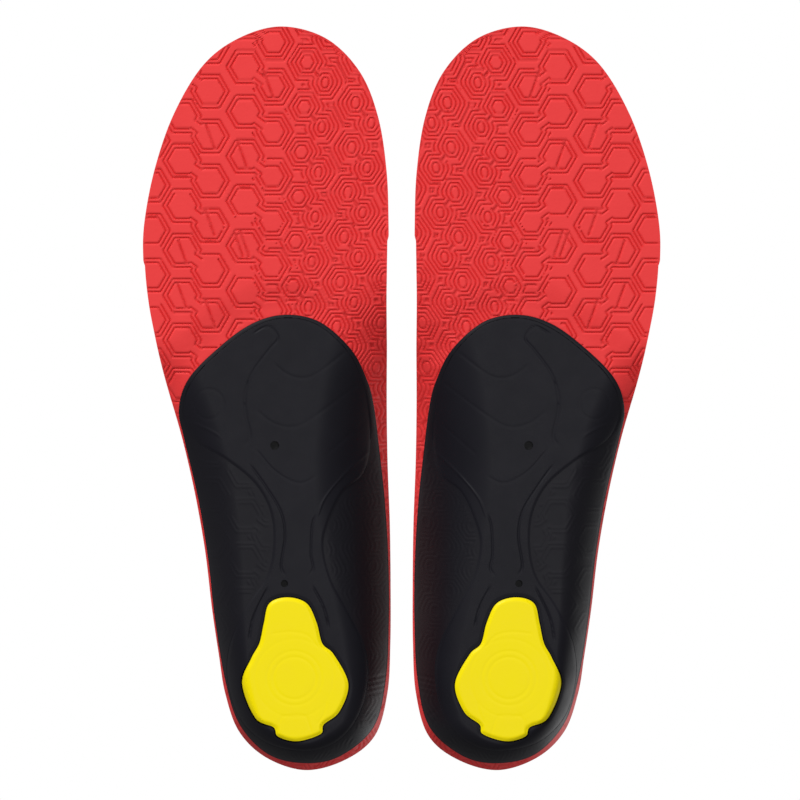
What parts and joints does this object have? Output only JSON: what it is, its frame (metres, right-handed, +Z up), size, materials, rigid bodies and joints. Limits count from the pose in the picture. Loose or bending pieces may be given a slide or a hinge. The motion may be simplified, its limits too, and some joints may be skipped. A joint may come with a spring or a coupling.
{
  "type": "pair of cushioned insoles",
  "caption": "Left and right shoe insoles with foam base, arch support shell, heel pad and fabric cover, flexing at the ball of the foot.",
  "frame": {"origin": "on the ground, midway between the two insoles across and along", "axes": "+Z up, foot side up; toes towards -Y, heels towards +Y; the right-foot insole on -X and the left-foot insole on +X"},
  "size_m": [0.1862, 0.2683, 0.0262],
  "materials": {
    "base_foam": "matte closed-cell foam with an embossed relief",
    "cushion_foam": "matte open-cell foam",
    "top_cover": "brushed knitted polyester",
    "arch_shell": "satin moulded thermoplastic with an embossed relief",
    "stabiliser_plate": "smooth satin moulded thermoplastic",
    "heel_pad": "soft satin gel"
  },
  "bodies": {
    "right_rear": {"right_base_foam_rear": "base_foam", "right_cushion_foam_rear": "cushion_foam", "right_top_cover_rear": "top_cover", "right_arch_shell": "arch_shell", "right_stabiliser_plate": "stabiliser_plate", "right_heel_pad": "heel_pad"},
    "right_forefoot": {"right_base_foam_front": "base_foam", "right_cushion_foam_front": "cushion_foam", "right_top_cover_front": "top_cover"},
    "left_rear": {"left_base_foam_rear": "base_foam", "left_cushion_foam_rear": "cushion_foam", "left_top_cover_rear": "top_cover", "left_arch_shell": "arch_shell", "left_stabiliser_plate": "stabiliser_plate", "left_heel_pad": "heel_pad"},
    "left_forefoot": {"left_base_foam_front": "base_foam", "left_cushion_foam_front": "cushion_foam", "left_top_cover_front": "top_cover"}
  },
  "joints": [
    {"name": "right_forefoot_flex", "type": "hinge", "parent": "right_rear", "child": "right_forefoot", "pos_m": [-0.04765, -0.0485, 0.0056], "axis": [-0.9559, 0.2936, 0], "range_deg": [0, 50], "stiffness_Nm_per_rad": 0.2},
    {"name": "left_insole_slide", "type": "slide", "parent": "right_rear", "child": "left_rear", "axis": [1, 0, 0], "range_m": [0, 0.05]},
    {"name": "left_forefoot_flex", "type": "hinge", "parent": "left_rear", "child": "left_forefoot", "pos_m": [0.04765, -0.0485, 0.0056], "axis": [-0.9559, -0.2936, 0], "range_deg": [0, 50], "stiffness_Nm_per_rad": 0.2}
  ]
}
